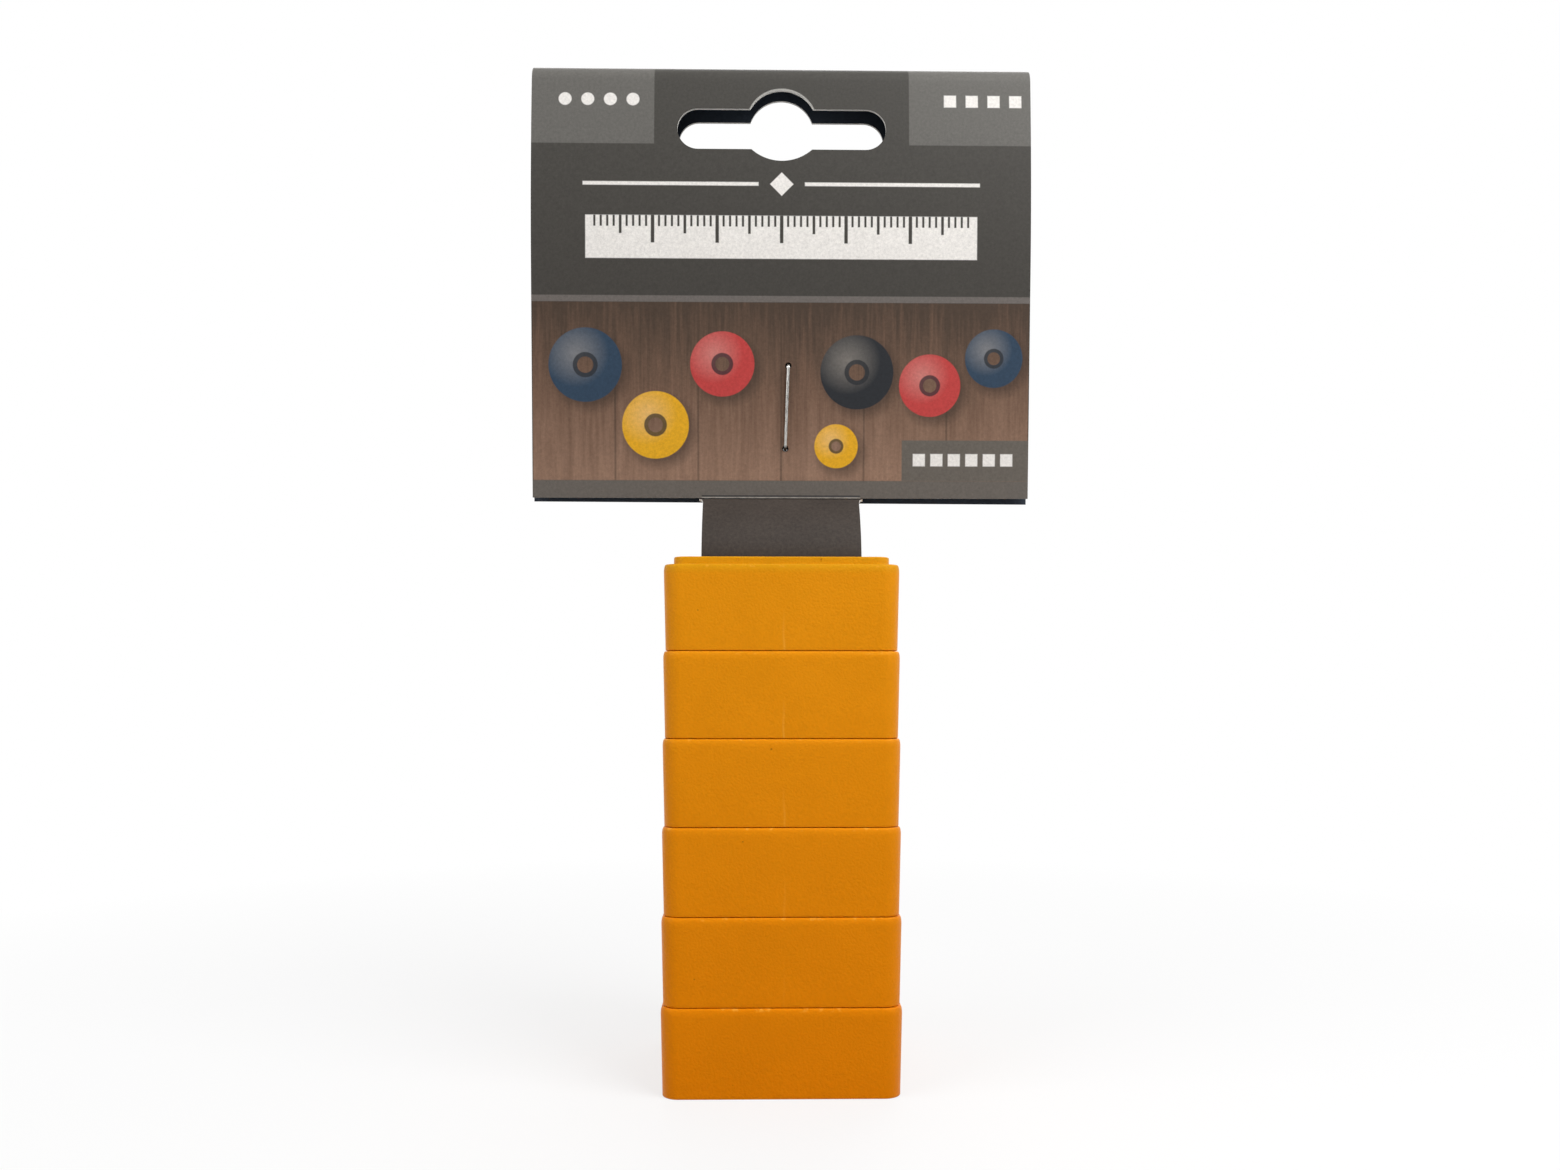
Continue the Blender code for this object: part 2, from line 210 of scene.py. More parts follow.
def mouldedPlastic():
    # injection-moulded ABS from a spark-eroded tool: one colour with light painted into it up the stack, a
    # fine satin grain and a soft broad highlight; the grain is drawn about five times coarser than real, so
    # that it shows
    s = spacerBlock
    material, tree, shader = startMaterial("mouldedOrangeAbs")
    place = put(tree, "TexCoord").outputs["Object"]
    axes = put(tree, "SeparateXYZ", {"Vector": place}).outputs
    noises = []
    for size, detail in (("cloudMm", 3.0), ("grainMm", 2.0), ("knitMm", 1.0), ("scuffMm", 2.0)):
        noise = put(tree, "TexNoise", {"Vector": place, "Scale": 1 / (s[size] * mm), "Detail": detail})
        noises.append(noise.outputs["Fac"])
    cloud, grain, wander, chips = noises
    spots = put(tree, "TexVoronoi", {"Vector": place, "Scale": 1 / (s["spotMm"] * mm)})
    specks = put(tree, "TexVoronoi", {"Vector": place, "Scale": 1 / (s["dirtMm"] * mm)})
    # painted light and shade: the colour turns lighter and yellower towards the top of the stack, where more
    # light falls, and is toned down on the top block's land, which the lamps light strongly
    rise = put(tree, "MapRange", {"Value": axes["Z"], 1: 0.0, 2: s["crownZ"] * mm})
    base = put(tree, "ValToRGB", {"Fac": rise.outputs[0]})
    base.color_ramp.elements[0].color = linear(s["foot"])
    base.color_ramp.elements[1].color = linear(s["crown"])
    base.color_ramp.elements.new(s["headAt"]).color = linear(s["head"])
    mottle = put(tree, "Math", {0: grain, 1: 1.6, 2: cloud}, operation="MULTIPLY_ADD")
    shade = put(tree, "MapRange", {"Value": mottle.outputs[0], 1: 0.9, 2: 1.7, 3: 1 - s["toneSwing"],
                                   4: 1 + s["toneSwing"]})
    tone = put(tree, "VectorMath", {0: base.outputs["Color"], 3: shade.outputs[0]}, operation="SCALE")
    # knit line: a pale thread up the middle of the lower front of a block, where the melt met,
    # plainest on the upper blocks
    drift = put(tree, "Math", {0: wander, 1: s["knitDrift"] * mm, 2: axes["X"]}, operation="MULTIPLY_ADD")
    off = put(tree, "Math", {0: drift.outputs[0], 1: s["knitDrift"] * mm}, operation="SUBTRACT")
    side = put(tree, "Math", {0: off.outputs[0]}, operation="ABSOLUTE")
    thread = put(tree, "MapRange", {"Value": side.outputs[0], 1: s["knitEdge"] * mm, 2: s["knitCore"] * mm})
    level = put(tree, "Math", {0: axes["Z"], 1: s["pitch"] * mm}, operation="FLOORED_MODULO")
    plain = put(tree, "MapRange", {"Value": rise.outputs[0], 1: 0.1, 2: 0.7, 3: 0.0, 4: s["knitStrength"]})
    lower = put(tree, "MapRange", {"Value": level.outputs[0], 1: s["knitTop"] * mm, 2: s["knitFull"] * mm,
                                   3: 0.0, 4: plain.outputs[0]})
    front = put(tree, "Math", {0: axes["Y"], 1: s["knitFront"] * mm}, operation="LESS_THAN")
    knit = put(tree, "Math", {0: thread.outputs[0], 1: lower.outputs[0]}, operation="MULTIPLY")
    knitFront = put(tree, "Math", {0: knit.outputs[0], 1: front.outputs[0]}, operation="MULTIPLY")
    # scuffed bits along the top edge, and a few specks of dirt in the melt
    edge = put(tree, "MapRange", {"Value": level.outputs[0], 1: s["scuffFrom"] * mm, 2: s["scuffFull"] * mm})
    chosen = put(tree, "MapRange", {"Value": chips, 1: 0.6, 2: 0.66, 3: 0.0, 4: s["scuffStrength"]})
    scuff = put(tree, "Math", {0: edge.outputs[0], 1: chosen.outputs[0]}, operation="MULTIPLY")
    pale = put(tree, "Math", {0: scuff.outputs[0], 1: knitFront.outputs[0]}, operation="MAXIMUM")
    marked = put(tree, "Mix", {0: pale.outputs[0], 6: tone.outputs[0], 7: linear(s["weld"])},
                 data_type="RGBA")
    fleck = put(tree, "MapRange", {"Value": specks.outputs["Distance"], 1: 0.03, 2: 0.018, 3: 0.0,
                                   4: s["dirtStrength"]})
    colour = put(tree, "Mix", {0: fleck.outputs[0], 6: marked.outputs[2], 7: linear(s["dirt"])},
                 data_type="RGBA")
    sheen = put(tree, "MapRange", {"Value": cloud, 1: 0.3, 2: 0.7, 3: s["roughness"] - 0.05,
                                   4: s["roughness"] + 0.06})
    relief = put(tree, "Math", {0: spots.outputs["Distance"], 1: 0.25, 2: grain}, operation="MULTIPLY_ADD")
    bump = put(tree, "Bump", {"Strength": s["bump"], "Distance": s["bumpMm"] * mm,
                              "Height": relief.outputs[0]})
    feed(tree, shader, {
        "Base Color": colour.outputs[2], "Roughness": sheen.outputs[0], "Normal": bump.outputs[0],
        "IOR": 1.52, "Specular IOR Level": 0.3,
        "Specular Tint": linear(s["sheenTint"]),  # the grain returns light through the pigment
        "Subsurface Weight": 0.05, "Subsurface Radius": (1.0, 0.5, 0.1), "Subsurface Scale": s["glowMm"] * mm,
    })
    return material


def sprueGleam():
    # sheared-off sprue: the same ABS, matt, coloured pale cream as a painted highlight for the shine on the
    # stub
    s = spacerBlock
    material, tree, shader = startMaterial("stubPaintedGleam")
    place = put(tree, "TexCoord").outputs["Object"]
    noise = put(tree, "TexNoise", {"Vector": place, "Scale": 1 / (s["stubGrainMm"] * mm), "Detail": 4.0})
    tone = put(tree, "Mix", {0: noise.outputs["Fac"], 6: linear(s["stubDark"]), 7: linear(s["stubPale"])},
               data_type="RGBA")
    bump = put(tree, "Bump", {"Strength": s["stubBump"], "Distance": s["bumpMm"] * mm,
                              "Height": noise.outputs["Fac"]})
    feed(tree, shader, {"Base Color": tone.outputs[2], "Normal": bump.outputs[0],
                        "Roughness": s["stubRoughness"]})
    return material


def perforationTree(material):
    # two strap slots and two screw holes, cut through the block by tools longer than it is high
    tree = bpy.data.node_groups.new("blockPerforations", "GeometryNodeTree")
    face = tree.interface
    face.new_socket("Block", in_out="INPUT", socket_type="NodeSocketGeometry")
    for name in ("Slot Length", "Slot Width", "Slot Offset", "Hole Radius", "Hole Offset"):
        face.new_socket(name, in_out="INPUT", socket_type="NodeSocketFloat")
    face.new_socket("Block", in_out="OUTPUT", socket_type="NodeSocketGeometry")
    given = put(tree, "NodeGroupInput").outputs
    # just under half the width, so that the rounded ends keep a short flat
    half = put(tree, "Math", {0: given["Slot Width"], 1: 0.495}, operation="MULTIPLY")
    shape = put(tree, "GeometryNodeCurvePrimitiveQuadrilateral",
                {"Width": given["Slot Length"], "Height": given["Slot Width"]})
    ends = put(tree, "GeometryNodeFilletCurve",
               {"Curve": shape.outputs[0], "Count": 10, "Radius": half.outputs[0]}, mode="POLY")
    cap = put(tree, "GeometryNodeFillCurve", {"Curve": ends.outputs[0]}, mode="NGONS")
    wall = put(tree, "GeometryNodeExtrudeMesh", {"Mesh": cap.outputs[0], "Offset": (0, 0, 1),
                                                "Offset Scale": 40 * mm, "Individual": False})
    floor = put(tree, "GeometryNodeFlipFaces", {"Mesh": cap.outputs[0]})
    closed = put(tree, "GeometryNodeJoinGeometry")
    tree.links.new(wall.outputs["Mesh"], closed.inputs[0])
    tree.links.new(floor.outputs[0], closed.inputs[0])
    slug = put(tree, "GeometryNodeMergeByDistance", {"Geometry": closed.outputs[0], "Distance": 0.001 * mm})
    drill = put(tree, "GeometryNodeMeshCylinder", {"Vertices": 48, "Radius": given["Hole Radius"],
                                                  "Depth": 80 * mm})
    cutters = put(tree, "GeometryNodeJoinGeometry")
    for axis, offset, tool, foot in (("Y", "Slot Offset", slug.outputs[0], -10 * mm),
                                     ("X", "Hole Offset", drill.outputs["Mesh"], 0.0)):
        back = put(tree, "Math", {0: given[offset], 1: -1.0}, operation="MULTIPLY")
        step = put(tree, "Math", {0: given[offset], 1: 2.0}, operation="MULTIPLY")
        start = put(tree, "CombineXYZ", {axis: back.outputs[0], "Z": foot})
        stride = put(tree, "CombineXYZ", {axis: step.outputs[0]})
        line = put(tree, "GeometryNodeMeshLine", {"Count": 2, "Start Location": start.outputs[0],
                                                  "Offset": stride.outputs[0]})
        copies = put(tree, "GeometryNodeInstanceOnPoints", {"Points": line.outputs[0], "Instance": tool})
        tree.links.new(copies.outputs[0], cutters.inputs[0])
    real = put(tree, "GeometryNodeRealizeInstances", {"Geometry": cutters.outputs[0]})
    cut = put(tree, "GeometryNodeMeshBoolean", {"Mesh 1": given["Block"], "Mesh 2": real.outputs[0]},
              operation="DIFFERENCE", solver="EXACT")
    painted = put(tree, "GeometryNodeSetMaterial", {"Geometry": cut.outputs["Mesh"], "Material": material})
    put(tree, "NodeGroupOutput", {"Block": painted.outputs[0]})
    return tree


def setInputs(modifier, values):
    for item in modifier.node_group.interface.items_tree:
        if item.item_type == "SOCKET" and item.in_out == "INPUT" and item.name in values:
            modifier[item.identifier] = values[item.name]


def pocketOutline():
    # one quarter of the cored underside, between the rim, the ribs, the hub and a screw boss
    s = spacerBlock
    hubTurn = math.degrees(math.asin(s["rib"] / s["hub"]))
    bossStart = math.degrees(math.acos((s["pocketX"] - s["holeOffset"]) / s["boss"]))
    bossEnd = 180 - math.degrees(math.asin(s["rib"] / s["boss"]))
    corner = s["pocketCorner"]
    outline = arc(s["holeOffset"], 0, s["boss"], bossStart, bossEnd, 14)
    outline += arc(0, 0, s["hub"], hubTurn, 90 - hubTurn, 8)
    outline.append((s["rib"], s["pocketY"]))
    return outline + arc(s["pocketX"] - corner, s["pocketY"] - corner, corner, 90, 0, 5)


def blockBlank():
    s = spacerBlock
    draft = (s["topWidth"] - s["bottomWidth"]) / s["shoulder"]
    top = s["shoulder"] + s["landHeight"]
    levels = [(z, -x) for x, z in arc(s["footRound"], s["footRound"], s["footRound"], 270, 180, 4)]
    levels += [(s["wallHold"], 0.0), (s["shoulder"] - s["edgeFall"] - s["wallHold"], 0.0)]
    # the top edge falls away slowly, so it carries a soft light band
    for x, z in arc(1, 0, 1, 180, 90, 10):
        levels.append((s["shoulder"] - s["edgeFall"] * (1 - z), -s["edgeRound"] * x))
    sections = [(s["bottomWidth"] + draft * z + 2 * grow, s["corner"] + grow, z) for z, grow in levels]
    lip = [(inset, s["shoulder"] + z) for inset, z in s["landFoot"]]
    lip += arc(s["landRound"], top - s["landRound"], s["landRound"], 180, 90, 5)
    lip.append((s["landMargin"], top))
    sections += [(s["land"] - 2 * inset, s["landCorner"] - inset, z) for inset, z in lip]
    return meshPiece("block", *loft([(roundedRect(width, width, radius, 10, s["flatHold"]), z)
                                     for width, radius, z in sections]))


def blockMaster(plastic, white):
    s = spacerBlock
    top = s["shoulder"] + s["landHeight"]
    blank = blockBlank()
    nestOutline = roundedRect(s["nest"], s["nest"], s["nestCorner"], 8)
    nest = meshPiece("nest", *prism(nestOutline, -1, s["nestDepth"]))
    quarter = pocketOutline()
    shapes = []
    for sx in (1, -1):
        for sy in (1, -1):
            shapes.append(prism([(sx * x, sy * y) for x, y in quarter], -1, top - s["plate"]))
    shapes.append(prism(circle(s["gate"] / 2, 48), top - s["gateDepth"], top + 1))
    # two small nicks left by the tool in the front of the land
    landFront, half = -s["land"] / 2, s["nickHalf"]
    for x in s["nickX"]:
        nick = [(x - half, landFront - half), (x + half, landFront - half), (x, landFront + s["nickDepth"])]
        shapes.append(prism(nick, top - s["nickLow"], top - s["nickHigh"]))
    core = meshPiece("core", *joined(shapes))
    blank = cutAway(blank, [nest, core])
    modifier = blank.modifiers.new("perforate", "NODES")
    modifier.node_group = perforationTree(plastic)
    setInputs(modifier, {"Slot Length": s["slotLength"] * mm, "Slot Width": s["slotWidth"] * mm,
                         "Slot Offset": s["slotOffset"] * mm, "Hole Radius": s["hole"] / 2 * mm,
                         "Hole Offset": s["holeOffset"] * mm})
    blank = bake(blank)
    # sprue stub in the gate recess, a low dome with a torn rim
    tear = s["stubTear"]
    rings = []
    for share, z in s["stubRings"]:
        torn = []
        for i, (x, y) in enumerate(circle(s["stub"] / 2 * share, 32)):
            torn.append((x * (1 + tear * math.sin(5 * i)), y * (1 + tear * math.cos(7 * i))))
        rings.append((torn, top - s["gateDepth"] + z))
    stub = meshPiece("stub", *loft(rings), [white])
    return blank, stub


def buildBlocks():
    s = spacerBlock
    master, stub = blockMaster(mouldedPlastic(), sprueGleam())
    for i in range(1, s["count"] + 1):
        lift = Matrix.Translation((0, 0, (s["count"] - i) * s["pitch"] * mm))
        mesh = master.data.copy()
        mesh.transform(lift)
        mesh.name = f"spacerBlock{i}"
        smoothShade(mesh, s["sharpAngle"])
        piece = newObject(f"spacerBlock{i}", mesh)
        tip = newObject(f"sprueStub{i}", stub.data.copy())
        tip.data.transform(lift)
        smoothShade(tip.data, s["stubSharpAngle"])
        body = "base" if i == s["count"] else f"spacer_{i}"
        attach(piece, body)
        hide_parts(f"block_{i}")
        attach(tip, body)
    for spare in (master, stub):
        bpy.data.objects.remove(spare)
    print("blocks made")


# card hanger

cardHanger = {
    # sheet, folds and cuts, in mm and degrees
    "thick": 0.45, "width": 77.6, "creaseY": -8.5, "creaseZ": 88.9, "gap": 0.15, "layer": 0.75, "bend": 2.5,
    "top": 156.4, "lean": 7.2, "leanEnd": 124.0, "upright": 151.0, "overhang": 0.55, "skew": 0.3,
    "tabFoot": 0.25, "tabTop": 113.4, "tabMargin": 0.6, "strap": 24.4, "strapLine": 13.6, "strapFoot": 2.0,
    "strapBendZ": 79.3, "strapEase": 0.4, "strapCurl": 1.75, "fillet": 0.6, "underZ": 0.55, "footBend": 0.6,
    "rearTop": 84.0, "rearBend": 2.0, "rearBendZ": 85.1, "rearTurn": 88, "rearEnd": (1.9, 0.65),
    "slotLength": 32.4, "slotHeight": 6.35, "slotZ": 145.9, "roundRadius": 5.5, "roundZ": 146.56,
    "dipRadius": 7.1, "dipZ": 148.04, "rearRoundRadius": 5.13, "rearRoundZ": 147.53, "punchY": (-24, -4),
    "stapleLow": (0.65, 96.7), "stapleHigh": (1.1, 109.5), "stapleHole": 1.0, "tabHole": 0.62,
    "sharpAngle": 30,
    # board that carries no print: dark and pale colour, roughness
    "inside": ("#2b3039", "#38404a", 0.8), "cutEdge": ("#dcd9d3", "#f4f2ee", 0.85),
    "flood": ("#2c2622", "#443c36", 0.58), "fibreMm": 0.5, "blotchMm": 14.0, "bumpMm": 0.04,
    "inks": {
        "ground": "#403d39", "groundPale": "#464440", "field": "#64625e", "rule": "#68625e",
        "foot": "#635d57", "label": "#625c55", "ivory": "#e3dfda", "navy": "#2d3f52", "black": "#25272b",
        "red": "#b53f3d", "yellow": "#d8a01f",
        "woodDark": "#47392f", "woodMid": "#705646", "woodPale": "#917360",
        # the fourth colour on the next line, for the score line, is partly worn ink and partly a painted
        # highlight
        "shadow": "#2b231e", "gleam": "#f2e6d8", "wearAndHighlight": "#b3ada5", "bruise": "#a19f9a",
    },
    # shapes on the header, in mm across from its middle and up from the crease
    "inkEdge": 0.07, "paperMm": 0.45, "paleFrom": 30.0, "paleFull": 66.0,
    "ground": [
        {"at": (-31.0, 62.0), "half": (11.2, 7.4), "ink": "field"},
        {"at": (31.0, 62.0), "half": (11.2, 7.4), "ink": "field"},
        {"at": (0.0, 30.75), "half": (40.0, 0.5), "ink": "rule"},
        {"at": (0.0, 0.9), "half": (40.0, 1.95), "ink": "foot"},
    ],
    "dots": [{"at": (-33.6 + 3.5 * i, 61.6), "radius": 1.0, "ink": "ivory"} for i in range(4)],
    "squares": [{"at": (26.2 + 3.4 * i, 61.6), "half": (0.95, 0.95), "ink": "ivory"} for i in range(4)],
    "strip": {"at": (0.0, 40.2), "half": (30.4, 3.3), "ink": "ivory"}, "tickSpan": 29.2,
    "ticks": ((1.0, 1.7, 0.16), (5.0, 2.8, 0.2), (10.0, 4.2, 0.26)),  # spacing, length, half width
    "lines": [{"at": (side * 17.2, 48.4), "half": (13.6, 0.28), "ink": "ivory"} for side in (-1, 1)],
    "diamondV": 48.4, "diamondHalf": 1.825, "diamondSoft": 0.075,
    "boards": {"at": (0.0, 16.55), "half": (38.7, 13.7)}, "boardHalf": 6.47,
    "seamEdge": 0.22, "seamCore": 0.08,
    "discs": [((-30.5, 20.6), 5.7, "navy"), ((-19.6, 11.4), 5.2, "yellow"), ((-9.2, 20.8), 5.0, "red"),
              ((11.8, 19.6), 5.7, "black"), ((23.2, 17.6), 4.8, "red"), ((33.2, 21.8), 4.5, "navy"),
              ((8.6, 8.2), 3.4, "yellow")],
    # shares of a disc's radius, then the strengths
    "discRim": 0.34, "discBore": 0.22, "gleamSize": 0.45, "gleamShift": (-0.25, 0.3),
    "rimStrength": 0.85, "gleamStrength": 0.18, "shadowStrength": 0.55,
    "shadowShift": (0.7, -0.9), "shadowGrow": 0.2, "shadowSoft": 0.9,
    "label": {"at": (29.5, 6.0), "half": (10.6, 3.15), "ink": "label"},
    "tally": [{"at": (21.6 + 2.75 * i, 6.1), "half": (0.95, 0.95), "ink": "ivory"} for i in range(6)],
    "bruiseRise": 0.3, "scoreHalf": 12.4, "scoreSoft": 0.05,
    "rearField": [{"at": (0.0, 41.5), "half": (30.4, 6.6), "ink": "ivory"},
                  {"at": (0.0, 41.5), "half": (30.0, 6.2), "ink": "groundPale"}],
}


def frontY(z):
    c = cardHanger
    straight = min(z, c["leanEnd"]) - c["creaseZ"]
    over = min(max(z - c["leanEnd"], 0.0), c["upright"] - c["leanEnd"])
    eased = over - over ** 2 / (2 * (c["upright"] - c["leanEnd"]))
    return c["creaseY"] - math.tan(math.radians(c["lean"])) * (straight + eased)


def backY(z):
    return max(frontY(z) + 2 * cardHanger["layer"], frontY(cardHanger["top"]) + 2 * cardHanger["bend"])


def spread(low, high, steps):
    return [low + (high - low) * i / steps for i in range(steps + 1)]


def offsetLine(line, distance):
    found = []
    for i, point in enumerate(line):
        sides = []
        for a, b in ((line[max(i - 1, 0)], point), (point, line[min(i + 1, len(line) - 1)])):
            step = Vector(b) - Vector(a)
            if step.length > 1e-9:
                step.normalize()
                sides.append(Vector((-step.y, step.x)))
        mean = sum(sides, Vector((0, 0))).normalized()
        found.append(tuple(Vector(point) + mean * (distance / max(mean.dot(sides[0]), 0.3))))
    return found


def cardSheet(name, line, widths, columns, looks, outer, inner, cut):
    # outer gives a look's number for a place along the line, inner and cut are those of the other faces
    half = cardHanger["thick"] / 2
    sides = (offsetLine(line, half), offsetLine(line, -half))
    points = []
    for side in sides:
        for (y, z), wide in zip(side, widths):
            points += [(x, y, z) for x in spread(-wide, wide, columns)]
    n, m = len(line), columns + 1
    faces, kinds = [], []

    def at(side, i, j):
        return side * n * m + i * m + j

    for i in range(n - 1):
        for j in range(m - 1):
            faces.append([at(0, i, j), at(0, i + 1, j), at(0, i + 1, j + 1), at(0, i, j + 1)])
            faces.append([at(1, i, j), at(1, i, j + 1), at(1, i + 1, j + 1), at(1, i + 1, j)])
            kinds += [outer(i / (n - 1)), inner]
    for i in range(n - 1):
        for j in (0, m - 1):
            faces.append([at(0, i, j), at(0, i + 1, j), at(1, i + 1, j), at(1, i, j)])
            kinds.append(cut)
    for i in (0, n - 1):
        for j in range(m - 1):
            faces.append([at(0, i, j), at(0, i, j + 1), at(1, i, j + 1), at(1, i, j)])
            kinds.append(cut)
    return meshPiece(name, points, faces, looks, kinds)


def alongY(outline, low, high):
    points, faces = prism(outline, low, high)
    return [(x, z, y) for x, y, z in points], faces


def hangSlotOutline(roundRadius, roundZ):
    c = cardHanger
    half, arm = c["slotLength"] / 2, c["slotHeight"] / 2
    top, low = c["slotZ"] + arm, c["slotZ"] - arm
    highTurn = math.degrees(math.asin((top - roundZ) / roundRadius))
    lowTurn = math.degrees(math.asin((low - c["dipZ"]) / c["dipRadius"]))
    outline = arc(half - arm, c["slotZ"], arm, -90, 90, 24)
    # an odd count of steps keeps the punch's points off the mesh lines of the card
    outline += arc(0, roundZ, roundRadius, highTurn, 180 - highTurn, 33)
    outline += arc(-half + arm, c["slotZ"], arm, 90, 270, 24)
    return outline + arc(0, c["dipZ"], c["dipRadius"], 180 - lowTurn, 360 + lowTurn, 33)


def staplePunch(width):
    c = cardHanger
    shapes = []
    for cx, cz in (c["stapleLow"], c["stapleHigh"]):
        shapes.append(alongY([(x + cx, y + cz) for x, y in circle(width / 2, 16)], *c["punchY"]))
    return meshPiece("staplePunch", *joined(shapes))


def printKit(tree):
    # u and v in mm on the flat of the header, and what prints a soft-edged shape there
    c = cardHanger
    place = put(tree, "TexCoord").outputs["Object"]
    scaled = put(tree, "VectorMath", {0: place, 3: 1 / mm}, operation="SCALE").outputs[0]
    axes = put(tree, "SeparateXYZ", {"Vector": scaled}).outputs
    v = put(tree, "Math", {0: axes["Z"], 1: c["creaseZ"]}, operation="SUBTRACT").outputs[0]
    flat = put(tree, "CombineXYZ", {"X": axes["X"], "Y": v}).outputs[0]

    def mask(shape):
        # 1 inside a circle or an upright rectangle, and 0 outside
        soft, middle = shape.get("soft", c["inkEdge"]), (*shape["at"], 0)
        if "radius" in shape:
            size = shape["radius"]
            away = put(tree, "VectorMath", {0: flat, 1: middle}, operation="DISTANCE").outputs["Value"]
        else:
            size = 0.0
            off = put(tree, "VectorMath", {0: flat, 1: middle}, operation="SUBTRACT")
            span = put(tree, "VectorMath", {0: off.outputs[0]}, operation="ABSOLUTE")
            past = put(tree, "VectorMath", {0: span.outputs[0], 1: (*shape["half"], 0)}, operation="SUBTRACT")
            over = put(tree, "SeparateXYZ", {"Vector": past.outputs[0]}).outputs
            away = put(tree, "Math", {0: over["X"], 1: over["Y"]}, operation="MAXIMUM").outputs[0]
        return put(tree, "MapRange", {"Value": away, 1: size + soft, 2: size - soft}).outputs[0]

    def lay(under, over, *masks):
        # over is printed on under, through all the masks together
        amount = masks[0]
        for other in masks[1:]:
            amount = put(tree, "Math", {0: amount, 1: other}, operation="MULTIPLY").outputs[0]
        return put(tree, "Mix", {0: amount, 6: under, 7: over}, data_type="RGBA").outputs[2]

    def inkShapes(under, shapes):
        for shape in shapes:
            under = lay(under, linear(c["inks"][shape["ink"]]), mask(shape))
        return under

    return SimpleNamespace(scaled=scaled, flat=flat, u=axes["X"], v=v,
                           mask=mask, lay=lay, inkShapes=inkShapes)


def printGround(tree, kit):
    # dark flood ink that pales upwards, fields in the top corners, the rule and the foot band
    c = cardHanger
    rise = put(tree, "MapRange", {"Value": kit.v, 1: c["paleFrom"], 2: c["paleFull"]}).outputs[0]
    colour = kit.lay(linear(c["inks"]["ground"]), linear(c["inks"]["groundPale"]), rise)
    return kit.inkShapes(colour, c["ground"])


def printStrip(tree, kit, colour):
    # measuring strip: a pale band with dark ticks each millimetre, longer at five and ten
    c = cardHanger
    middle, half = c["strip"]["at"], c["strip"]["half"]
    colour = kit.inkShapes(colour, [c["strip"]])
    inside = kit.mask({"at": middle, "half": (c["tickSpan"], half[1])})
    for pitch, length, wide in c["ticks"]:
        end = middle[1] + half[1] - length
        near = put(tree, "Math", {0: kit.u, 1: pitch / 2}, operation="PINGPONG")
        line = put(tree, "MapRange", {"Value": near.outputs[0], 1: wide + 0.06, 2: wide - 0.04})
        deep = put(tree, "MapRange", {"Value": kit.v, 1: end - 0.05, 2: end + 0.05})
        colour = kit.lay(colour, linear(c["inks"]["ground"]), line.outputs[0], deep.outputs[0], inside)
    # thin rule above the strip, with a square on its point in the middle
    colour = kit.inkShapes(colour, c["lines"])
    tilt = put(tree, "Math", {0: kit.v, 1: c["diamondV"]}, operation="SUBTRACT").outputs[0]
    across, up = [put(tree, "Math", {0: way}, operation="ABSOLUTE").outputs[0] for way in (kit.u, tilt)]
    reach = put(tree, "Math", {0: across, 1: up}, operation="ADD")
    diamond = put(tree, "MapRange", {"Value": reach.outputs[0], 1: c["diamondHalf"] + c["diamondSoft"],
                                     2: c["diamondHalf"] - c["diamondSoft"]})
    return kit.lay(colour, linear(c["inks"]["ivory"]), diamond.outputs[0])


def printBoards(tree, kit):
    # wood-look panel: upright boards, darker towards the top
    c, inks = cardHanger, cardHanger["inks"]
    drawn = put(tree, "VectorMath", {0: kit.flat, 1: (1.0, 0.06, 1.0)}, operation="MULTIPLY").outputs[0]
    fibre = put(tree, "TexNoise", {"Vector": drawn, "Scale": 1.9, "Detail": 5.0, "Roughness": 0.65})
    figure = put(tree, "TexNoise", {"Vector": drawn, "Scale": 0.35, "Detail": 2.0, "Distortion": 1.2})
    fall = put(tree, "MapRange", {"Value": kit.v, 1: 31.0, 2: 4.0, 3: -0.05, 4: 0.85})
    fleck = put(tree, "Math", {0: fibre.outputs["Fac"], 1: 0.7, 2: fall.outputs[0]}, operation="MULTIPLY_ADD")
    blotch = put(tree, "Math", {0: figure.outputs["Fac"], 1: 0.5, 2: fleck.outputs[0]},
                 operation="MULTIPLY_ADD")
    shift = put(tree, "Math", {0: blotch.outputs[0], 1: 0.6}, operation="SUBTRACT")
    wood = put(tree, "ValToRGB", {"Fac": shift.outputs[0]})
    wood.color_ramp.elements[0].color = linear(inks["woodDark"])
    wood.color_ramp.elements[1].color = linear(inks["woodPale"])
    wood.color_ramp.elements.new(0.5).color = linear(inks["woodMid"])
    board = put(tree, "Math", {0: kit.u, 1: c["boardHalf"]}, operation="PINGPONG")
    seam = put(tree, "MapRange", {"Value": board.outputs[0], 1: c["seamEdge"], 2: c["seamCore"], 3: 0.0,
                                  4: 0.55})
    return kit.lay(wood.outputs[0], linear(inks["woodDark"]), seam.outputs[0])


